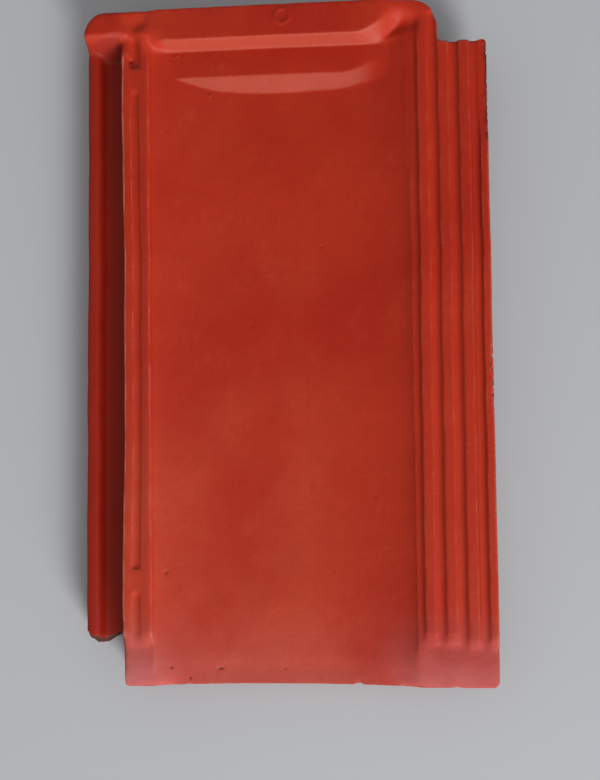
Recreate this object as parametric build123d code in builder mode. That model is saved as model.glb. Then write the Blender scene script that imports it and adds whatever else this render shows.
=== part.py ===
"""Pressed clay roof tile of the interlocking, flat-panned pattern.

One solid, in millimetres. X runs across the tile, with the overlock strip at +X.
Y runs up the roof slope, with the head at +Y. Z is up, and Z = 0 is the plane
that the four lugs under the tile stand on. The top has a dished pan between a
ribbed band and a ribbed overlock strip, a raised lip along the head, and a
rolled-down nose along the foot. The underlock channel on the left takes the
hook of the next tile's overlock strip.
"""

import os
from math import atan, degrees, radians, tan

from build123d import *

# Widths across the tile, left to right
underlock_width = 27.0
band_width = 18.5
pan_width = 163.0
pan_shoulder = 22.0
ledge_width = 3.1
rib_pitch = 12.9
edge_rib_width = 6.6
overlock_rib_count = 4

# Lengths along the tile
tile_length = 425.0
foot_notch_length = 27.6
head_notch_length = 26.0
head_lip_width = 20.5
head_slope_length = 3.2
head_step_width = 17.5
crescent_length = 10.3
nose_length = 20.0

# Heights, from the lugs up
lug_height = 9.5
wall = 10.5
pan_sag = 8.0
pan_edge_step = 1.0
head_step_rise = 4.5
rib_height = 2.5
head_lip_height = 6.0
underlock_wall = 8.0
underlock_lip_height = 8.0
nose_drop = 3.0
overlock_wall = 7.8

# Underlock channel and the hook that sits in it
underlock_lip_top = 8.2
underlock_lip_slope = 3.0
side_wall = 8.0
side_draft = 0.8
side_gap = 1.5
hook_floor_gap = 1.0
lip_roof_gap = 0.7
lip_side_gap = 2.0

# Ribs, measured where they stand on the deck, with their left and right flanks
rib_width = 8.8
rib_left_flank = 1.3
rib_right_flank = 1.0
rib_end_slope = 8.5
rib_root = 1.0
rib_round = 0.8
long_rib_end = 22.0
short_rib_end = 25.5
short_rib_count = 2
outer_band_rib_width = 6.1
inner_band_rib_width = 7.0
pan_flank = 1.4

# Bridges that part the gutter between the two ribs of the left band
bridge_length = 16.5
bridge_slope = 6.0
bridge_drop = 0.5
bridge_places = (36.5, 352.5)

# Corners in plan and the sweep of the lip into the right-hand corner
head_corner_radius = 15.0
foot_corner_radius = 4.0
notch_radius = 2.5
lip_round = 2.0
lip_narrow_width = 10.0
lip_band_width = 18.5
lip_wedge_length = 4.5
lip_sweep_length = 19.0
lip_sweep_rise = 7.5
lip_sweep_inset = 2.0
lip_sweep_radius = 15.0
lip_tip_radius = 6.0
lip_hollow_radius = 3.5
channel_end_width = 15.5
channel_end_slope = 9.0

# Funnel from the lip into the gutter, and the hollow where the lip meets the ledge
funnel_length = 17.5
funnel_spread = 9.0
funnel_foot_height = 1.2
hollow_mouth_radius = 7.0
hollow_bottom_radius = 3.5
hollow_round = 2.5
hollow_depth = 2.5
hollow_from_ledge = 0.5
hollow_from_head = 14.0

# Edges rounded in the cross-section
soft_round = 2.5
inner_round = 3.0
edge_round = 1.2

# Ring pressed into the lip, and the blind nail mark in the band's head pocket
ring_outer_radius = 5.6
ring_inner_radius = 3.6
ring_height = 0.8
ring_from_head = 8.0
ring_from_middle = 3.0
nail_mark_radius = 1.4
nail_mark_depth = 2.5
nail_mark_from_head = 31.0
nail_mark_from_side = 6.8

# Lugs under the tile
lug_width = 34.0
lug_length = 15.0
lug_draft = 12.0
lug_embed = 0.5
batten_lug_from_head = 40.0
eave_lug_from_foot = 72.0
lug_spacing = 118.0

# Places across the tile, worked out from the widths
overlock_reach = ledge_width + (overlock_rib_count - 1) * rib_pitch + edge_rib_width
tile_width = underlock_width + band_width + pan_width + overlock_reach
left = -tile_width / 2
body_left = left + underlock_width
pan_left = body_left + band_width
pan_right = pan_left + pan_width
ribs_left = pan_right + ledge_width
body_right = ribs_left + rib_pitch + rib_left_flank
right = tile_width / 2
pan_middle = (pan_left + pan_right) / 2
gutter_left = body_left + side_draft + outer_band_rib_width
gutter_right = pan_left - inner_band_rib_width

# Places along the tile
foot = -tile_length / 2
head = tile_length / 2
nose_start = foot + nose_length
head_slope_foot = head - head_lip_width - head_slope_length
head_step_foot = head_slope_foot - head_step_width

# Levels
pan_bottom = lug_height + wall
pan_edge = pan_bottom + pan_sag
head_step_level = pan_bottom + head_step_rise
deck = pan_edge + pan_edge_step
rib_top = deck + rib_height
lip_top = deck + head_lip_height
deck_underside = pan_edge - wall
pan_curve_level = pan_edge - 4 / 3 * pan_sag
overlock_underside = deck - overlock_wall
underlock_lip_level = overlock_underside - lip_roof_gap
channel_floor = underlock_lip_level - underlock_lip_height
channel_underside = channel_floor - underlock_wall
hook_underside = channel_floor + hook_floor_gap

# The next tile's underlock, one cover width to the right, sets the overlock groove
cover_width = tile_width - underlock_width + side_gap
next_lip_outside = left + cover_width
next_lip_inside = next_lip_outside + underlock_lip_top + underlock_lip_slope
groove_left = next_lip_outside - lip_side_gap
groove_right = next_lip_inside + side_gap

# The nose rolls down on this radius at deck level, about an axis across the tile
nose_radius = (nose_length**2 + nose_drop**2) / (2 * nose_drop)
nose_axis = Axis((0, nose_start, deck - nose_radius), (1, 0, 0))
nose_angle = 1.25 * degrees(atan(nose_length / (nose_radius - nose_drop)))


def across(y):
    """Plane across the tile at y, with its normal towards the foot."""
    return Plane(origin=(0, y, 0), x_dir=(1, 0, 0), z_dir=(0, -1, 0))


def section_at(y):
    """Return the tile's cross-section without its ribs, drawn across the tile at y."""
    with BuildSketch(across(y)) as section:
        with BuildLine():
            FilletPolyline(
                (pan_left, deck_underside),
                (body_left + side_wall + inner_round, deck_underside),
                (body_left + side_wall - inner_round, channel_underside),
                (left, channel_underside),
                (left, underlock_lip_level),
                (left + underlock_lip_top, underlock_lip_level),
                (left + underlock_lip_top + underlock_lip_slope, channel_floor),
                (body_left, channel_floor),
                (body_left + side_draft, deck),
                (pan_left, deck),
                (pan_left + pan_flank, pan_edge),
                radius=(
                    inner_round,
                    inner_round,
                    soft_round,
                    inner_round,
                    soft_round,
                    edge_round,
                    edge_round,
                    0,
                    0,
                ),
            )
            Bezier(
                (pan_left + pan_flank, pan_edge),
                (pan_left + pan_shoulder, pan_curve_level),
                (pan_right - pan_shoulder, pan_curve_level),
                (pan_right - pan_flank, pan_edge),
            )
            FilletPolyline(
                (pan_right - pan_flank, pan_edge),
                (pan_right, deck),
                (right, deck),
                (right, hook_underside),
                (groove_right, hook_underside),
                (groove_right - side_draft, overlock_underside),
                (groove_left, overlock_underside),
                (groove_left - side_draft, deck_underside),
                (pan_right, deck_underside),
                radius=(0, edge_round, soft_round, edge_round, edge_round, edge_round, edge_round),
            )
            Bezier(
                (pan_right, deck_underside),
                (pan_right - pan_shoulder, pan_curve_level - wall),
                (pan_left + pan_shoulder, pan_curve_level - wall),
                (pan_left, deck_underside),
            )
        make_face()
    return section.sketch


# Body, drawn as one section and pressed along the tile, with its nose rolled down
with BuildPart() as body:
    extrude(section_at(head), amount=tile_length - nose_length)
    revolve(section_at(nose_start), axis=nose_axis, revolution_arc=nose_angle)


def make_rib(rib_left, width, flanks, foot_end, head_end, top=rib_top, end_slope=rib_end_slope):
    """Make one rib with its left edge at rib_left, and a sloped end towards the foot."""
    left_flank, right_flank = flanks
    root = deck - rib_root
    with BuildPart() as rib:
        with BuildSketch(across(head_end)):
            with BuildLine():
                FilletPolyline(
                    (rib_left, root),
                    (rib_left, deck),
                    (rib_left + left_flank, top),
                    (rib_left + width - right_flank, top),
                    (rib_left + width, deck),
                    (rib_left + width, root),
                    radius=(0, rib_round, rib_round, 0),
                )
                Line((rib_left + width, root), (rib_left, root))
            make_face()
        extrude(amount=head_end - foot_end)
        end_face = Plane(
            origin=(rib_left, foot_end, deck), x_dir=(1, 0, 0), z_dir=(0, deck - top, end_slope)
        )
        split(bisect_by=end_face, keep=Keep.BOTTOM)
    return rib.part


# Ribs of the overlock strip, of which the last one is cut off by the tile's edge
flanks = (rib_left_flank, rib_right_flank)
ribs = []
for number in range(overlock_rib_count):
    rib_left = ribs_left + number * rib_pitch
    rib_end = short_rib_end if number < short_rib_count else long_rib_end
    ribs.append(make_rib(rib_left, rib_width, flanks, foot + rib_end, head - lip_narrow_width / 2))

# The left band's two ribs: the outer one carries on the body's drafted side wall
wall_lean = side_draft * rib_height / (deck - channel_floor)
for rib_left, width, left_flank in (
    (body_left + side_draft, outer_band_rib_width, wall_lean),
    (gutter_right, inner_band_rib_width, rib_left_flank),
):
    ribs.append(
        make_rib(
            rib_left,
            width,
            (left_flank, rib_right_flank),
            foot + short_rib_end,
            head - lip_narrow_width,
        )
    )

# Bridges across the gutter, from the middle of one rib to the middle of the other
bridge_left = gutter_left - outer_band_rib_width / 2
bridge_width = gutter_right + inner_band_rib_width / 2 - bridge_left
for place in bridge_places:
    bridge_head = head - place
    ribs.append(
        make_rib(
            bridge_left,
            bridge_width,
            (rib_round, rib_round),
            bridge_head - bridge_length,
            bridge_head,
            top=rib_top - bridge_drop,
            end_slope=bridge_slope,
        )
    )

# Head: the step is a flat shelf in the end of the pan, and its slope meets the
# dished pan in a crescent
with BuildPart() as head_step:
    with BuildSketch(Plane.YZ.offset(body_left + side_wall)):
        with BuildLine():
            step_bottom = (pan_bottom + deck_underside) / 2
            slope_run = crescent_length * (head_step_level - step_bottom) / head_step_rise
            Polyline(
                (head, step_bottom),
                (head, head_step_level),
                (head_step_foot, head_step_level),
                (head_step_foot - slope_run, step_bottom),
                close=True,
            )
        make_face()
    extrude(amount=body_right - body_left - side_wall)

# Head lip: its inner face is a slope, which sweeps towards the head at the right
lip_height = lip_top - head_step_level
with BuildPart() as head_lip:
    with BuildSketch(Plane.XY.offset(head_step_level)):
        with BuildLine():
            spare = head_lip_width + tile_length / 10
            sweep_at = pan_right - lip_sweep_inset
            sweep_start = sweep_at - lip_sweep_length
            FilletPolyline(
                (left - spare, head + spare),
                (left - spare, head - lip_band_width),
                (pan_left, head - lip_band_width),
                (pan_left + lip_wedge_length, head_slope_foot),
                (sweep_start, head_slope_foot),
                (sweep_at, head_slope_foot + lip_sweep_rise),
                (sweep_at, head - lip_narrow_width),
                (right + spare, head - lip_narrow_width),
                (right + spare, head + spare),
                radius=(
                    0,
                    lip_hollow_radius,
                    lip_tip_radius,
                    lip_sweep_radius,
                    lip_tip_radius,
                    lip_hollow_radius,
                    0,
                ),
            )
            Line((right + spare, head + spare), (left - spare, head + spare))
        make_face()
    extrude(amount=lip_height, taper=degrees(atan(head_slope_length / lip_height)))

# The lip closes the head end of the underlock channel with a steep slope
with BuildPart() as channel_end:
    with BuildSketch(Plane.YZ.offset(left)):
        with BuildLine():
            Polyline(
                (head, channel_underside),
                (head, lip_top),
                (head - channel_end_width, lip_top),
                (head - channel_end_width - channel_end_slope, channel_floor),
                (head - channel_end_width - channel_end_slope, channel_underside),
                close=True,
            )
        make_face()
    extrude(amount=underlock_width + 2 * side_draft)

# Funnel: it slopes from the top of the lip down to the gutter
with BuildPart() as funnel:
    with BuildSketch(Plane.XY.offset(deck)):
        with BuildLine():
            Polyline(
                (gutter_left, head - funnel_length),
                (gutter_right, head - funnel_length),
                (gutter_right + funnel_spread, head),
                (gutter_left - funnel_spread, head),
                close=True,
            )
        make_face()
    extrude(amount=head_lip_height)
    funnel_rise = head_lip_height - funnel_foot_height
    funnel_floor = Plane(
        origin=(gutter_left, head - funnel_length, deck + funnel_foot_height),
        x_dir=(1, 0, 0),
        z_dir=(0, -funnel_rise, funnel_length),
    )
    split(bisect_by=funnel_floor, keep=Keep.TOP)

# Hollow pressed where the head lip meets the ledge
with BuildPart() as hollow:
    with Locations((pan_right - hollow_from_ledge, head - hollow_from_head, pan_edge - hollow_depth)):
        Cone(
            hollow_bottom_radius,
            hollow_mouth_radius,
            hollow_depth + lip_top - pan_edge,
            align=(Align.CENTER, Align.CENTER, Align.MIN),
        )
    fillet(hollow.edges().group_by(Axis.Z)[0], radius=hollow_round)

# Plan outline: a rectangle with its head-right and foot-left corners notched
with BuildPart() as outline:
    with BuildSketch(Plane.XY):
        with BuildLine():
            FilletPolyline(
                (body_left, foot),
                (right, foot),
                (right, head - head_notch_length),
                (body_right, head - head_notch_length),
                (body_right, head),
                (left, head),
                (left, foot + foot_notch_length),
                (body_left, foot + foot_notch_length),
                radius=(
                    foot_corner_radius,
                    foot_corner_radius,
                    notch_radius,
                    notch_radius,
                    head_corner_radius,
                    head_corner_radius,
                    notch_radius,
                    notch_radius,
                ),
                close=True,
            )
        make_face()
    extrude(amount=lip_top)
    fillet(outline.faces().sort_by(Axis.Z)[-1].edges(), radius=lip_round)

# Lugs: drafted on three sides, and square on the foot side, which bears on the batten
lug_root = deck_underside + lug_embed


def make_lugs(lug_y):
    """Make a pair of lugs whose square sides stand at lug_y."""
    spread = lug_root * tan(radians(lug_draft))
    with BuildPart() as lugs:
        with BuildSketch(Plane.XY.offset(lug_root)):
            with Locations((pan_middle, lug_y - spread)):
                with GridLocations(lug_spacing, 1, 2, 1):
                    Rectangle(
                        lug_width + 2 * spread,
                        lug_length + 2 * spread,
                        align=(Align.CENTER, Align.MIN),
                    )
        extrude(amount=-lug_root, taper=lug_draft)
        split(bisect_by=across(lug_y), keep=Keep.BOTTOM)
    return lugs.part


lugs = [
    make_lugs(head - batten_lug_from_head),
    make_lugs(foot + eave_lug_from_foot),
]

# Tile
with BuildPart() as roof_tile:
    add(body.part)
    add(ribs)
    add(head_step.part)
    add(channel_end.part)
    add(head_lip.part)
    add(funnel.part, mode=Mode.SUBTRACT)
    add(hollow.part, mode=Mode.SUBTRACT)
    add(outline.part, mode=Mode.INTERSECT)
    add(lugs)

    # Ring on the lip
    with BuildSketch(Plane.XY.offset(lip_top)):
        with Locations((pan_middle + ring_from_middle, head - ring_from_head)):
            Circle(ring_outer_radius)
            Circle(ring_inner_radius, mode=Mode.SUBTRACT)
    extrude(amount=ring_height)

    # Blind nail mark in the head pocket between the band's ribs
    with Locations((body_left + nail_mark_from_side, head - nail_mark_from_head, deck)):
        Hole(nail_mark_radius, depth=nail_mark_depth)

roof_tile.part.label = "roof_tile"

os.makedirs("parts", exist_ok=True)
export_step(roof_tile.part, "parts/roof_tile.step")
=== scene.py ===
"""Looks of a pressed clay roof tile: soft worn arrises, a hand-trimmed edge and a red slip."""

import math

import bmesh
import bpy
import numpy as np
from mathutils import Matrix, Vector


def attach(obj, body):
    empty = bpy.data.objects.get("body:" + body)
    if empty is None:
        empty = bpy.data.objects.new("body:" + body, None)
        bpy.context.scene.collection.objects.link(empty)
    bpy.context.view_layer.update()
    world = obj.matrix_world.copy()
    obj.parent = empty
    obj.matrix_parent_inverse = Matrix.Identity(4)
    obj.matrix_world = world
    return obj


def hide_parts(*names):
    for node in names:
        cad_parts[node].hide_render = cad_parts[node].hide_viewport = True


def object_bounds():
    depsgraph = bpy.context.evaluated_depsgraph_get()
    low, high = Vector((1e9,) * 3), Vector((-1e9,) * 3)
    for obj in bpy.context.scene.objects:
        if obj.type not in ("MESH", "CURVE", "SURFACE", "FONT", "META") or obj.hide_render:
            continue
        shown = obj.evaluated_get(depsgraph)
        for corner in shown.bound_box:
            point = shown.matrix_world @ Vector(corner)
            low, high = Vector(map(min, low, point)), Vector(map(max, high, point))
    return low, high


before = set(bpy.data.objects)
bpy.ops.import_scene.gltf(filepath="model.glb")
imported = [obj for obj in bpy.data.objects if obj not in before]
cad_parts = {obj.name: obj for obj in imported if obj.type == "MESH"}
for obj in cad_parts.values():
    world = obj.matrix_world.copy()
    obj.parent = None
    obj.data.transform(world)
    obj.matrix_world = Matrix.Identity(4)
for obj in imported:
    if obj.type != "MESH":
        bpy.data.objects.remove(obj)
cad_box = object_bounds()

MM = 0.001

# The pressed tile's own measures in millimetres, in the frame's axes
LEFT, RIGHT = -128.45, 128.45
FOOT = -212.5
BODY_LEFT, BODY_RIGHT = -101.45, 97.35
PAN_LEFT, PAN_RIGHT, PAN_FLANK = -82.95, 80.05, 1.4
PAN_MIDDLE, PAN_HALF, PAN_INNER = -1.45, 80.1, 59.5
PAN_BOTTOM, PAN_SAG, DECK, RIB_TOP, LIP_TOP = 20.0, 8.0, 29.0, 31.5, 35.0
STEP_LEVEL, STEP_FOOT, CRESCENT_LENGTH = 24.5, 171.3, 10.3
LIP_EDGE, LIP_FOOT = 192.0, 188.8
STRIP_FOOT, STRIP_HEAD = -184.9, 186.5
RING_X, RING_Y, RING_RADIUS, RING_WIDTH = 1.55, 204.5, 4.6, 1.3

# Where the band's inner rib, the strip's ribs and the wear of its edge rib begin
BAND_RIB_FROM, RIBS_FROM, WORN_FROM = -91.5, 84, 119.5

# How far this one tile departs from them, in millimetres, and slopes as ratios
PAN_DIP = 1.1
CORNER_DROP = 3.1
CRESCENT_UPPER_SWEEP, CRESCENT_LOWER_SWEEP = 8.0, 6.0
LIP_EDGE_SWEEP, LIP_FOOT_SWEEP = 14.5, 11.5
CREST_X, CREST_Y, CREST_SLOPE, CREST_WIDTH, CREST_HEIGHT = 62.8, 189.8, 0.3, 1.3, 0.6
HOLLOW_DEPTH = 1.2
GROOVE_FILL, GUTTER_FILL = 0.5, 0.9
WORN_RIB_HEIGHT = 0.9
RIB_BEND = 1.0
LEDGE_FALL = 0.8
DECK_SLOPE, LEDGE_SLANT = 0.35, 0.5

# Spots shaped by hand, as ovals: middle across and along, half width, half length
FUNNEL_OUTER = (-99, 202, 9, 13)
FUNNEL_INNER = (-85.5, 201, 6.5, 13)
NAIL_MARK = (-94.65, 181.5, 3, 3)
POCKET_END = (-91.5, 178.5, 5, 3.5)
LIP_LEFT_END = (-80.5, 190.5, 9, 8)
HOOD_OUTER = (86, 203, 13, 10)
HOOD_INNER = (70, 205, 9, 5)
SLOPE_END = (73, 203, 9, 6.5)
CREST_START = (70, 194.8, 6.5, 4.5)
HOLLOW = (76.5, 198.5, 6.5, 4.2)
ROUGH_SPOT = (-67.5, 184, 6, 5)
STUCK_GRAIN = (-46.4, 160.6, 0.8, 1.1)

# Chips in the foot edge: place across, half width, depth
CHIPS = ((43.0, 2.2, 1.6), (44.6, 1.0, 0.8), (-63, 1.6, 0.5), (103, 2.6, 0.5))

# Small pits in the face: middle across and along, half width, half length, depth
PITS = (
    (-75.6, -142.3, 1.2, 1.3, 0.5),
    (-72.8, -200.9, 1.0, 1.0, 0.6),
    (-61.8, -208.3, 1.1, 1.1, 0.6),
    (-42.4, -202.3, 2.3, 1.0, 0.6),
    (-2.5, -202.3, 1.2, 0.8, 0.4),
    (24.0, 61.0, 1.0, 0.9, 0.3),
    (-20.5, 12.0, 0.9, 0.8, 0.3),
    (55.0, -96.0, 1.3, 0.8, 0.3),
)

# Making of the mesh: its grain and weld in millimetres, smoothing, and size
CLAY_STEP, WELD = 0.72, 0.01
ARRIS_PASSES = 2
TRIANGLES = 190000


def new_piece(name, mesh):
    """Link a new object that shows this mesh."""
    piece = bpy.data.objects.new(name, mesh)
    bpy.context.scene.collection.objects.link(piece)
    return piece


def settle(piece):
    """Turn what the piece's modifiers show into its own mesh."""
    shown = piece.evaluated_get(bpy.context.evaluated_depsgraph_get())
    mesh = bpy.data.meshes.new_from_object(shown)
    piece.modifiers.clear()
    piece.data = mesh


def read_points(mesh):
    """The mesh's points in millimetres."""
    points = np.empty(len(mesh.vertices) * 3)
    mesh.vertices.foreach_get("co", points)
    return points.reshape(-1, 3) / MM


def read_normals(mesh):
    """The outward direction at each of the mesh's points."""
    normals = np.empty(len(mesh.vertices) * 3)
    mesh.vertices.foreach_get("normal", normals)
    return normals.reshape(-1, 3)


def write_points(mesh, points):
    """Put the mesh's points at these places, in millimetres."""
    mesh.vertices.foreach_set("co", (points * MM).ravel())
    mesh.update()


def write_mask(mesh, name, values):
    """Keep one number per point under this name, for the material."""
    layer = mesh.attributes.new(name, "FLOAT", "POINT")
    layer.data.foreach_set("value", values.astype(np.float32))


def edge_ends(mesh):
    """The points at the two ends of each edge."""
    ends = np.empty(len(mesh.edges) * 2, dtype=np.int64)
    mesh.edges.foreach_get("vertices", ends)
    return ends.reshape(-1, 2).T


def mean_around(values, ends):
    """For each point, the mean of these values over the points one edge away."""
    first, second = ends
    count = len(values)
    total = np.bincount(first, values[second], count) + np.bincount(second, values[first], count)
    return total / np.maximum(np.bincount(first, None, count) + np.bincount(second, None, count), 1)


def ease(points, ends, share, passes):
    """Even out the points where share is 1, as a wet thumb does."""
    share = np.where(share > 0.02, share, 0)
    ends = ends[:, (share[ends[0]] > 0) | (share[ends[1]] > 0)]
    for _ in range(passes):
        around = np.stack([mean_around(column, ends) for column in points.T], axis=1)
        points += (around - points) * share[:, None]


def ramp(values, start, end):
    """Rise smoothly from 0 at start to 1 at end."""
    t = np.clip((values - start) / (end - start), 0, 1)
    return t * t * (3 - 2 * t)


def window(values, low, high, soft):
    """1 between low and high, fading to 0 over the width soft on both sides."""
    return ramp(values, low - soft, low) * (1 - ramp(values, high, high + soft))


def waver(points, wavelength, seed, waves=18):
    """A smooth random value at each point, about -1 to 1, with that wavelength in millimetres."""
    dice = np.random.default_rng(seed)
    total = np.zeros(len(points))
    for _ in range(waves):
        way = dice.normal(size=3)
        way /= np.linalg.norm(way)
        length = wavelength * dice.uniform(0.7, 1.5)
        total += np.sin(points @ way * 2 * math.pi / length + dice.uniform(0, 2 * math.pi))
    return total / math.sqrt(waves)


def blot(x, y, at_x, at_y, wide, long):
    """1 at a place, fading out over an oval of this half width and half length."""
    return np.exp(-((((x - at_x) / wide) ** 2 + ((y - at_y) / long) ** 2) ** 1.5))


def pan_level(x):
    """Height of the pan across the tile: a shallow dish that steepens at its shoulders."""
    t = np.linspace(0, 1, 401)
    near, far = (1 - t) ** 3, t**3
    inner = 3 * t * (1 - t)
    across = PAN_MIDDLE + PAN_HALF * (far - near) + PAN_INNER * inner * (2 * t - 1)
    return np.interp(x, across, PAN_BOTTOM + PAN_SAG * (2 * t - 1) ** 2)


def lip_level(x, y):
    """Height of the head lip's top, which dips to the rib at its left end."""
    return RIB_TOP + (LIP_TOP - RIB_TOP) * np.maximum(ramp(y, 185, 199), ramp(x, -85, -71))


def corner_drop(x, y):
    """How far the lip's right-hand corner, over the first ribs, lies below the rest of it."""
    return CORNER_DROP * ramp(x, 57, 81) * ramp(y, 191, 198)


def head_level(x, y):
    """Height of the tile's top at the head end of the pan: crescent, step, lip and hollow."""
    # The pan is pressed a little deeper in front of the step
    dip = PAN_DIP * ramp(y, 105, 158) * ramp(x, -69, -38) * (1 - ramp(x, 54, 76))
    pan = np.where(x > PAN_RIGHT, DECK, pan_level(x) - dip)
    # At the left the crescent's slope is even, so it runs out to a point
    even = STEP_LEVEL - (STEP_FOOT - y) * (STEP_LEVEL - PAN_BOTTOM + PAN_DIP) / CRESCENT_LENGTH
    pointed = np.maximum(pan, np.minimum(STEP_LEVEL, even))
    # At the right its edges sweep towards the head, and it fades
    upper = STEP_FOOT + CRESCENT_UPPER_SWEEP * ramp(x, 38, 64)
    lower = STEP_FOOT - CRESCENT_LENGTH + CRESCENT_LOWER_SWEEP * ramp(x, 24, 76)
    climb = np.clip((y - lower) / (upper - lower), 0, 1)
    swept = pan + np.clip(STEP_LEVEL - pan, 0, None) * climb
    level = pointed + (swept - pointed) * ramp(x, 14, 40)
    # The lip's slope sweeps up to the right-hand corner and turns into a scoop
    lip_edge = LIP_EDGE + LIP_EDGE_SWEEP * ramp(x, 48, 78)
    lip_foot = LIP_FOOT + LIP_FOOT_SWEEP * ramp(x, 62, 77)
    rise = np.clip((y - lip_foot) / (lip_edge - lip_foot), 0, 1)
    rise **= 1 + 0.7 * ramp(x, 58, 74)
    lip = lip_level(x, y) - corner_drop(x, y)
    steep = LIP_TOP - (LIP_EDGE - y) * (LIP_TOP - STEP_LEVEL) / (LIP_EDGE - LIP_FOOT)
    tapered = np.maximum(level, np.minimum(lip, steep))
    level += (lip - level) * rise
    level += (tapered - level) * (1 - ramp(x, -60, -30))
    # A low crest runs on from the slope's foot, and behind it lies a scooped hollow
    from_crest = y - CREST_Y - CREST_SLOPE * (x - CREST_X)
    crest = np.exp(-((from_crest / CREST_WIDTH) ** 2)) * window(x, 66, 77, 4)
    return level + CREST_HEIGHT * crest - HOLLOW_DEPTH * blot(x, y, *HOLLOW)


def shape_head(points, ends, top):
    """Shape the head end of the pan and the lip's two ends, and soften what a thumb has smoothed."""
    x, y, z = points.T
    reach = top * window(x, PAN_LEFT + PAN_FLANK, PAN_RIGHT + 2, 1.2) * ramp(y, 104, 108)
    points[:, 2] += (head_level(x, y) - z) * reach
    rib_head = top * window(x, BAND_RIB_FROM, PAN_LEFT, 0.8) * window(y, 186, 200, 1.5) * (z > DECK + 1)
    points[:, 2] += np.clip(lip_level(x, y) - z, 0, None) * rib_head
    corner = top * (x > PAN_RIGHT) * ramp(z, RIB_TOP, LIP_TOP)
    points[:, 2] -= corner_drop(x, y) * corner
    funnel = blot(x, y, *FUNNEL_OUTER) + blot(x, y, *FUNNEL_INNER)
    hood = blot(x, y, *HOOD_OUTER) + 0.6 * blot(x, y, *HOOD_INNER)
    ease(points, ends, np.clip(funnel + hood, 0, 1) * (z > 22), 30)
    for spot, passes in (
        (SLOPE_END, 16),
        (CREST_START, 12),
        (NAIL_MARK, 30),
        (POCKET_END, 10),
        (LIP_LEFT_END, 16),
    ):
        ease(points, ends, blot(x, y, *spot) * top, passes)
    gutter = window(x, -98, -86, 1) * (y < 192)
    ease(points, ends, gutter * top, 5)
    pan_head = ramp(y, 100, 110) * window(x, PAN_LEFT, PAN_RIGHT, 3)
    ease(points, ends, pan_head * top, 2)


def shape_ribs(points, ends, top):
    """Fill and round the grooves beside the ribs, wear down the edge rib and soften the foot ends."""
    x, y, z = points.T
    bend = RIB_BEND * ramp(y, -150, 120) * window(x, RIBS_FROM, 120, 6)
    points[:, 0] += bend * (z > 20)
    grooves = window(x, PAN_RIGHT + 2, 124, 2) * (1 - ramp(z, RIB_TOP - 0.8, RIB_TOP - 0.1))
    fill = GROOVE_FILL * window(x, 90, 120, 4) + GUTTER_FILL * window(x, -97, -86, 1) * (y < 176)
    points[:, 2] += fill * (y > -186) * top * ramp(RIB_TOP - z, 0.1, 1.5)
    worn = window(x, WORN_FROM, 130, 2) * ramp(y, 112, 146) * top
    points[:, 2] -= worn * np.clip(z - DECK - WORN_RIB_HEIGHT, 0, None)
    ease(points, ends, grooves * top, 6)
    feet = window(y, -192, -172, 3) * ((x > PAN_RIGHT) + (x < PAN_LEFT - 4))
    ease(points, ends, feet * top, 5)
    band_foot = window(y, -200, -183, 4) * (x < PAN_LEFT - 2)
    ease(points, ends, band_foot * top, 14)


def shape_foot(points, ends, top):
    """At the foot the pan runs out flush with the deck on both sides of it."""
    x, y, z = points.T
    last = top * (1 - ramp(y, -206, -198))
    deck_line = DECK - DECK_SLOPE * (x - PAN_LEFT)
    flank = np.clip((x - PAN_LEFT) / PAN_FLANK, 0, 1)
    shown = np.where(x < PAN_LEFT + PAN_FLANK, DECK - flank, pan_level(x))
    points[:, 2] += last * np.clip(deck_line - shown, 0, 2) * (x > PAN_LEFT) * (x < 0)
    # On the right the pan spreads over the ledge, up to a slanting line
    slant = -190.0 - LEDGE_SLANT * np.clip(x - 79.5, 0, None)
    spread = top * (1 - ramp(y, slant - 5, slant)) * window(x, 74, 88, 14)
    points[:, 2] -= spread * LEDGE_FALL * (x > PAN_RIGHT)
    smooth = window(x, 72, 90, 5) * (1 - ramp(y, -196, -188))
    smooth = smooth + window(x, -90, -74, 5) * (1 - ramp(y, -206, -200))
    ease(points, ends, smooth * top, 40)


def trim_underlock(points):
    """The strip's foot end was cut by hand while wet: it slants and its edge is torn."""
    x, y, z = points.T
    end = (x < BODY_LEFT - 1) * (1 - ramp(y, STRIP_FOOT + 1, STRIP_FOOT + 16))
    slant = 1.2 - 3.2 * ramp(x, -129, -123) + 4.6 * ramp(x, -120, -107)
    torn = 0.6 * waver(points, 7, 11) + 0.3 * waver(points, 2.6, 12) + 0.33 * (z - 12)
    points[:, 1] += end * (slant + torn * (1 - ramp(y, STRIP_FOOT + 1, STRIP_FOOT + 5)))


def side_bites(points):
    """How much of the outer right edge is bitten away at each point."""
    x, y = points.T[:2]
    coarse = np.clip(waver(points, 9, 21) - 0.4, 0, 2)
    fine = 0.6 * np.clip(waver(points, 3.2, 22), 0, 2)
    where = window(y, 128, 178, 10) + window(y, -42, 2, 8) + 0.2
    return ramp(x, RIGHT - 3.5, RIGHT - 0.5) * (coarse + fine) * where


def chip_edges(points):
    """Small bites out of the outer right edge and the foot edge."""
    points[:, 0] -= 0.75 * side_bites(points)
    x, y, z = points.T
    foot_side = 1 - ramp(y, FOOT + 0.6, FOOT + 4)
    for place, width, depth in CHIPS:
        points[:, 1] += foot_side * depth * np.exp(-(((x - place) / width) ** 2)) * ramp(z, 12, 22)


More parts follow.
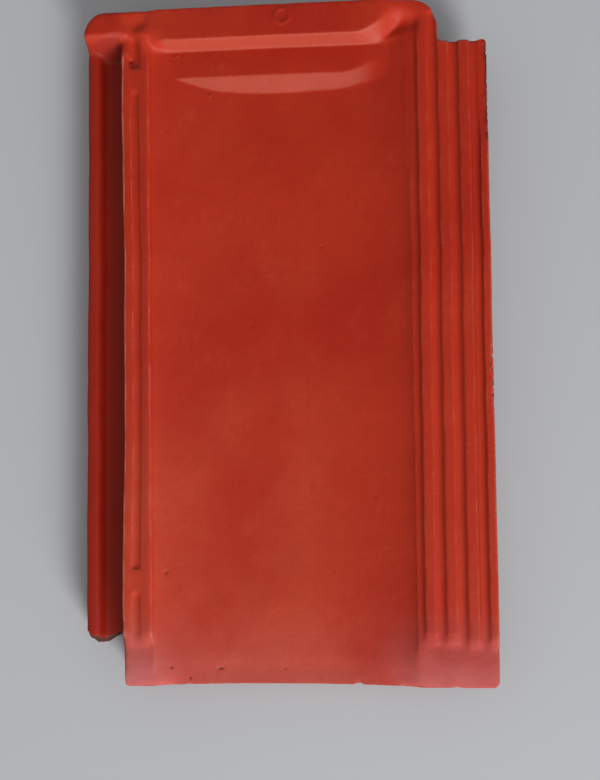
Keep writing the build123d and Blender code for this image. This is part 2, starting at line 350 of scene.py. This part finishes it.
def warp_edges(points):
    """Bends that a soft tile gets on its way to the kiln."""
    x, y, z = points.T
    outer_left = 1 - ramp(x, LEFT, BODY_LEFT)
    points[:, 0] += outer_left * (1.8 * ramp(y, -150, 150) + 1.4 * ramp(y, 185, 200))
    band = window(x, BODY_LEFT - 2, -92, 9)
    points[:, 0] += band * (1.1 * window(y, -30, 60, 90) - 0.7 * window(y, -180, -140, 30) - 0.8)
    strip_end = ramp(y, STRIP_HEAD - 8, STRIP_HEAD) * ramp(x, BODY_RIGHT, BODY_RIGHT + 2)
    points[:, 1] += strip_end * (0.2 * np.sin((x - 95) * 0.42) - 0.3)
    along = np.zeros((len(points), 3))
    along[:, 1] = y
    points[:, 0] += 0.30 * waver(along, 120, 31) + 0.12 * waver(along, 34, 32)
    points[:, 2] += 0.22 * waver(points, 75, 33) * ramp(z, 11, 20)


def press_marks(points, normals):
    """The unevenness of clay that was pressed and rubbed by hand."""
    x, y, z = points.T
    shift = (0.045 * waver(points, 16, 41) + 0.015 * waver(points, 5, 42)) * ramp(z, 0.5, 3)
    ring = np.hypot(x - RING_X, y - RING_Y)
    bead = np.exp(-(((ring - RING_RADIUS) / RING_WIDTH) ** 2))
    shift += 0.5 * bead * ramp(z, LIP_TOP - 2, LIP_TOP - 1)
    shift += 0.16 * blot(x, y, *ROUGH_SPOT) * waver(points, 3.2, 43)
    shift += 0.5 * blot(x, y, *STUCK_GRAIN)
    top = (normals[:, 2] > 0.4) * (z > 15)
    for *spot, depth in PITS:
        shift -= depth * blot(x, y, *spot) * top
    points += normals * shift[:, None]


def hold_back(points, low, high, band=0.2):
    """Bring bulges near the sides of this box smoothly back into it."""
    for column, least, most in zip(points.T, low, high):
        for side, limit in ((1, most), (-1, least)):
            over = np.clip((column - limit) * side + band, 0, None)
            column -= side * (over - band * (1 - np.exp(-over / band)))


def make_tile(node):
    """Build the tile from a closed copy of the CAD node, worked as wet clay is."""
    piece = new_piece("pressed_tile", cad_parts[node].data.copy())
    welded = bmesh.new()
    welded.from_mesh(piece.data)
    bmesh.ops.remove_doubles(welded, verts=welded.verts, dist=WELD * MM)
    welded.to_mesh(piece.data)
    welded.free()

    even = piece.modifiers.new("even_clay", "REMESH")
    even.mode = "VOXEL"
    even.voxel_size = CLAY_STEP * MM
    worn = piece.modifiers.new("worn_arrises", "SMOOTH")
    worn.factor = 0.5
    worn.iterations = ARRIS_PASSES
    settle(piece)

    # top is 1 on the upper face and 0 on the sides and below
    points = read_points(piece.data)
    ends = edge_ends(piece.data)
    top = ramp(read_normals(piece.data)[:, 2], 0.0, 0.15) * ramp(points[:, 2], 14, 16)
    shape_head(points, ends, top)
    shape_ribs(points, ends, top)
    shape_foot(points, ends, top)
    underlock = (points[:, 0] < BODY_LEFT - 3) * ramp(points[:, 2], 11, 13)
    ease(points, ends, underlock, 10)
    trim_underlock(points)
    chip_edges(points)
    warp_edges(points)
    write_points(piece.data, points)
    press_marks(points, read_normals(piece.data))
    # Bulges come back into the pressed tile's box, and the lugs still stand on the floor
    low, high = [np.array(corner) / MM for corner in cad_box]
    hold_back(points, low - (0, 0, 1), high)
    write_points(piece.data, np.clip(points, low, high))

    piece.data.calc_loop_triangles()
    thin = piece.modifiers.new("thin", "DECIMATE")
    thin.ratio = min(1, TRIANGLES / len(piece.data.loop_triangles))
    settle(piece)
    write_points(piece.data, np.clip(read_points(piece.data), low, high))
    for face in piece.data.polygons:
        face.use_smooth = True
    return piece


def surface_bend(points, normals, ends):
    """How sharply the surface turns at each point: above 0 on an arris, below 0 in a groove."""
    first, second = ends
    along = points[second] - points[first]
    length = np.maximum(np.linalg.norm(along, axis=1), 0.2)
    bend = np.zeros(len(points))
    for here, way in ((first, along), (second, -along)):
        turn = -np.einsum("ij,ij->i", normals[here], way) / length**2
        bend += np.bincount(here, turn, len(points))
    number = np.bincount(first, None, len(points)) + np.bincount(second, None, len(points))
    bend /= np.maximum(number, 1)
    for _ in range(3):
        bend = 0.5 * bend + 0.5 * mean_around(bend, ends)
    return bend


def mark_wear(mesh):
    """Mark each point's wear, pits, torn ends and bare underside, and its painted highlight, sheen and
    shade, for the material.
    """
    points = read_points(mesh)
    normals = read_normals(mesh)
    bend = surface_bend(points, normals, edge_ends(mesh))
    x, y, z = points.T

    # Arrises are painted pale, most on the ribs: partly rubbed wear, partly a painted highlight; along
    # the left band's outer edge the pale colour is doubled as a painted highlight
    ledge = (z > DECK - 0.4) * (x > PAN_RIGHT - 1) * (x < RIBS_FROM)
    ribs = (z > DECK + 0.5) * (x >= RIBS_FROM)
    beside_pan = ledge + ribs + (z > DECK - 0.7) * (x < PAN_LEFT + 1)
    on_ribs = beside_pan * (1 - ramp(y, 183, 189)) * ramp(y, -204, -196)
    outer = 1 + (x < -97) * (z > DECK)
    write_mask(mesh, "arris", ramp(bend, 0.015, 0.13) * (0.1 + 0.9 * on_ribs) * outer)
    # Creases and grooves are painted darker: painted shade
    write_mask(mesh, "recess", ramp(-bend, 0.02, 0.16))
    write_mask(mesh, "underside", 1 - ramp(normals[:, 2], -0.6, -0.1))

    # The underlock channel and its lip are painted darker, up to a brim that rises towards the body:
    # painted shade from the body's wall
    channel = ramp(x, LEFT, LEFT + 2.5) * (1 - ramp(x, BODY_LEFT - 1, BODY_LEFT))
    brim = 27 + 4 * ramp(x, -121, -110)
    write_mask(mesh, "underlock", channel * (1 - ramp(z, brim, brim + 6)))

    # Torn, bitten and pitted clay
    strip_end = (x < BODY_LEFT) * (1 - ramp(y, STRIP_FOOT + 2, STRIP_FOOT + 6))
    write_mask(mesh, "torn", strip_end * ramp(-normals[:, 1], 0.15, 0.5))
    # Beside the bites, a dark line down the outer right side and a ragged dark band along its top edge
    # near the head: painted shade
    side = ramp(x, BODY_RIGHT, 126) * ramp(normals[:, 0], 0.25, 0.7) * (y > FOOT + 3)
    worn = ramp(x + 0.7 * waver(points, 6, 23), 126.4, 127.8) * window(y, 126, 184, 8)
    write_mask(mesh, "scar", np.clip(side_bites(points) * 1.4 + 0.7 * side + worn, 0, 1))
    pits = np.zeros(len(points))
    for *spot, depth in PITS:
        pits += depth / 0.6 * blot(x, y, *spot) * (z > 15)
    write_mask(mesh, "pits", np.clip(pits, 0, 1))

    # Slopes that face the foot and the lamp are painted paler: a painted sheen
    rubbed = ramp(-normals[:, 1], 0.07, 0.34) * ramp(normals[:, 2], 0.04, 0.24) * (y > -190)
    rubbed *= (1 - 0.75 * ramp(x, 56, 74)) * (1 - 0.8 * window(x, -98, -80, 7))
    rubbed *= 0.6 + 0.4 * ramp(x, -122, -102)
    write_mask(mesh, "slope", rubbed * (z > 12))


def mark_dust(mesh):
    """Mark the chalk on the foot, the painted shade at the foot's middle and edge, and the dust on the
    left and the lower face.
    """
    x, y = read_points(mesh).T[:2]
    open_top = ramp(x, BODY_LEFT - 1, BODY_LEFT + 1)
    chalk = (1 - ramp(y, -212, -150)) * (0.35 + 0.65 * ramp(np.abs(x + 5), 40, 95))
    chalk *= 0.75 + 0.25 * (1 - ramp(x, -60, 40))
    write_mask(mesh, "chalk", chalk * open_top)
    low = 1 - ramp(y, -190, 180)
    dust = 0.35 * (1 - ramp(x, -90, 50)) * (0.6 + 0.4 * low)
    write_mask(mesh, "dust", (dust + 0.65 * low**1.6 * (1 - 0.65 * ramp(x, 0, 70))) * open_top)
    # The middle of the foot and its very edge are painted darker: painted shade
    grime = (1 - ramp(y, -208, -192)) * (1 - ramp(np.abs(x + 5), 45, 90))
    write_mask(mesh, "grime", np.maximum(grime, 1 - ramp(y, -212.4, -210.4)))


def colour(code):
    """Linear RGBA from an sRGB hex code."""
    parts = [int(code[i : i + 2], 16) / 255 for i in (0, 2, 4)]
    return [p / 12.92 if p <= 0.04045 else ((p + 0.055) / 1.055) ** 2.4 for p in parts] + [1.0]


def add_node(tree, kind, inputs=None, **settings):
    """Add a node with its settings, and set or link its inputs."""
    node = tree.nodes.new(kind)
    for name, value in settings.items():
        setattr(node, name, value)
    for name, value in (inputs or {}).items():
        if isinstance(value, bpy.types.NodeSocket):
            tree.links.new(value, node.inputs[name])
        else:
            node.inputs[name].default_value = value
    return node


def slipped_clay():
    """Fired brick clay, pressed in a mould and brushed with a red iron-oxide slip.

    To the eye it is a satin brick red, cloudy where the slip went on thick or thin, with
    faint strokes along the tile, rubbed arrises, a chalky foot and a bare, paler underside.
    Light and shade are painted in as well: a painted highlight on the arrises, a painted sheen
    on slopes that face the lamp, and painted shade in the grooves, in the underlock channel,
    along the outer right side and at the foot.
    """
    material = bpy.data.materials.new("slipped_fired_clay")
    material.use_nodes = True
    tree = material.node_tree
    tree.nodes.clear()
    place = add_node(tree, "ShaderNodeTexCoord").outputs["Object"]

    # Smooth random fields, each from 0 to 1: size in millimetres, stretch, detail, range used
    fields = {}
    for name, size, stretch, detail, low, high in (
        ("clouds", 80, (1, 0.8, 1), 4, 0.36, 0.64),
        ("patches", 22, (1, 0.7, 1), 4, 0.46, 0.72),
        ("haze", 55, (1, 1, 1), 5, 0.30, 0.70),
        ("strokes", 3.4, (1, 0.05, 1), 3, 0.42, 0.72),
        ("flecks", 2.6, (0.35, 1, 1), 2, 0.62, 0.74),
        ("mottle", 5.0, (1, 1, 1), 4, 0.35, 0.70),
        ("rubbed", 2.4, (1, 0.35, 1), 3, 0.44, 0.60),
        ("grit", 0.9, (1, 1, 1), 2, 0.56, 0.68),
        ("grain", 0.5, (1, 1, 1), 3, 0.25, 0.75),
        ("dimples", 2.6, (1, 1, 1), 2, 0.20, 0.80),
    ):
        stretched = add_node(tree, "ShaderNodeMapping", {"Vector": place, "Scale": stretch})
        noise = add_node(
            tree,
            "ShaderNodeTexNoise",
            {"Vector": stretched.outputs["Vector"], "Scale": 1 / (size * MM), "Detail": detail},
        )
        used = add_node(
            tree,
            "ShaderNodeMapRange",
            {"Value": noise.outputs["Fac"], "From Min": low, "From Max": high},
            interpolation_type="SMOOTHSTEP",
        )
        fields[name] = used.outputs["Result"]

    # What the mesh says about itself
    names = "arris recess slope underside underlock torn scar pits chalk dust grime"
    for name in names.split():
        fields[name] = add_node(tree, "ShaderNodeAttribute", attribute_name=name).outputs["Fac"]

    # Colours over one another: first field, second field, amount, colour
    shade = add_node(
        tree,
        "ShaderNodeMix",
        {0: fields["clouds"], 6: colour("9E1D06"), 7: colour("A7260B")},
        data_type="RGBA",
    ).outputs[2]
    for first, second, amount, code in (
        ("patches", "mottle", 0.16, "B8452A"),
        ("strokes", "clouds", 0.08, "861708"),
        ("flecks", "dust", 0.25, "7A150A"),
        ("dust", "dust", 0.16, "C95C42"),
        ("dust", "haze", 0.26, "C4583E"),
        # painted shade in creases and grooves
        ("recess", "mottle", 0.15, "7C1408"),
        # painted sheen on slopes that face the lamp
        ("slope", "slope", 0.30, "A0604F"),
        ("chalk", "haze", 0.30, "B07A78"),
        ("chalk", "chalk", 0.56, "A5666A"),
        # painted shade at the foot's middle and edge
        ("grime", "grime", 0.45, "7E2A1E"),
        # rubbed wear and a painted highlight on the arrises
        ("arris", "arris", 0.32, "BE6855"),
        ("arris", "grit", 0.30, "CE8672"),
        # painted shade in the underlock channel
        ("underlock", "underlock", 0.60, "7C150A"),
        ("pits", "pits", 0.75, "5A120A"),
        # chips, and painted shade along the outer right side
        ("scar", "scar", 0.80, "4E180E"),
        ("underside", "underside", 0.85, "B0603F"),
        ("torn", "torn", 0.9, "3A170E"),
    ):
        share = add_node(
            tree,
            "ShaderNodeMath",
            {0: fields[first], 1: fields[second]},
            operation="MULTIPLY",
        )
        held = add_node(
            tree, "ShaderNodeMath", {0: share.outputs["Value"], 1: amount}, operation="MULTIPLY"
        )
        shade = add_node(
            tree,
            "ShaderNodeMix",
            {0: held.outputs["Value"], 6: shade, 7: colour(code)},
            data_type="RGBA",
        ).outputs[2]

    # Chalk and the bare underside dull the satin of the slip
    dull = add_node(
        tree, "ShaderNodeMath", {0: fields["chalk"], 1: fields["underside"]}, operation="MAXIMUM"
    )
    roughness = add_node(
        tree,
        "ShaderNodeMapRange",
        {"Value": dull.outputs["Value"], "To Min": 0.52, "To Max": 0.80},
    )
    uneven = add_node(
        tree,
        "ShaderNodeMath",
        {0: fields["mottle"], 1: 0.08, 2: roughness.outputs["Result"]},
        operation="MULTIPLY_ADD",
    )

    # Relief finer than the mesh: field and depth in millimetres
    normal = None
    for name, depth in (("grain", 0.03), ("dimples", 0.03), ("strokes", 0.02), ("mottle", 0.04)):
        bump = add_node(
            tree,
            "ShaderNodeBump",
            {"Height": fields[name], "Distance": depth * MM, "Strength": 1.0},
        )
        if normal:
            tree.links.new(normal, bump.inputs["Normal"])
        normal = bump.outputs["Normal"]

    shader = add_node(
        tree,
        "ShaderNodeBsdfPrincipled",
        {
            "Base Color": shade,
            "Roughness": uneven.outputs["Value"],
            "Normal": normal,
            "IOR": 1.5,
            "Specular IOR Level": 0.20,
        },
    )
    add_node(tree, "ShaderNodeOutputMaterial", {"Surface": shader.outputs["BSDF"]})
    return material


def painted_board():
    """A matt painted board for the floor: pale grey, with no gloss to distract."""
    material = bpy.data.materials.new("painted_board")
    material.use_nodes = True
    shader = material.node_tree.nodes["Principled BSDF"]
    shader.inputs["Base Color"].default_value = colour("ADAFB2")
    shader.inputs["Roughness"].default_value = 0.9
    return material


def lay_floor():
    """A plain floor under the tile, 6 m square."""
    bpy.ops.mesh.primitive_plane_add(size=6)
    floor = bpy.context.object
    floor.name = "floor"
    floor.data.materials.append(painted_board())


def hang_lamp(name, place, size, power, spread):
    """A square soft lamp that looks at the tile: metres, watts and degrees."""
    lamp = bpy.data.lights.new(name, "AREA")
    lamp.energy = power
    lamp.size = size
    lamp.spread = math.radians(spread)
    holder = bpy.data.objects.new(name, lamp)
    bpy.context.scene.collection.objects.link(holder)
    holder.location = place
    holder.rotation_euler = (-Vector(place)).to_track_quat("-Z", "Y").to_euler()


def light_room():
    """A soft window light from the foot and the right, and an even fill all round."""
    hang_lamp("window", place=(1.5, -3.0, 1.45), size=1.6, power=39.5, spread=80)
    world = bpy.data.worlds.new("room")
    bpy.context.scene.world = world
    world.use_nodes = True
    background = world.node_tree.nodes["Background"]
    background.inputs["Color"].default_value = (1, 1, 1, 1)
    background.inputs["Strength"].default_value = 0.46


def place_camera():
    """Almost straight above, a little towards the foot, as the photograph was taken."""
    lens = bpy.data.cameras.new("camera")
    lens.sensor_width = 36
    lens.lens = 46.15
    camera = bpy.data.objects.new("camera", lens)
    bpy.context.scene.collection.objects.link(camera)
    camera.location = (0.0565, -0.0625, 0.6458)
    camera.rotation_euler = [math.radians(a) for a in (2.95, 4.37, -0.71)]
    bpy.context.scene.camera = camera


tile = make_tile("roof_tile")
mark_wear(tile.data)
mark_dust(tile.data)
tile.data.materials.clear()
tile.data.materials.append(slipped_clay())
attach(tile, "root")
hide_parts("roof_tile")

lay_floor()
light_room()
place_camera()
bpy.context.scene.view_settings.view_transform = "Standard"
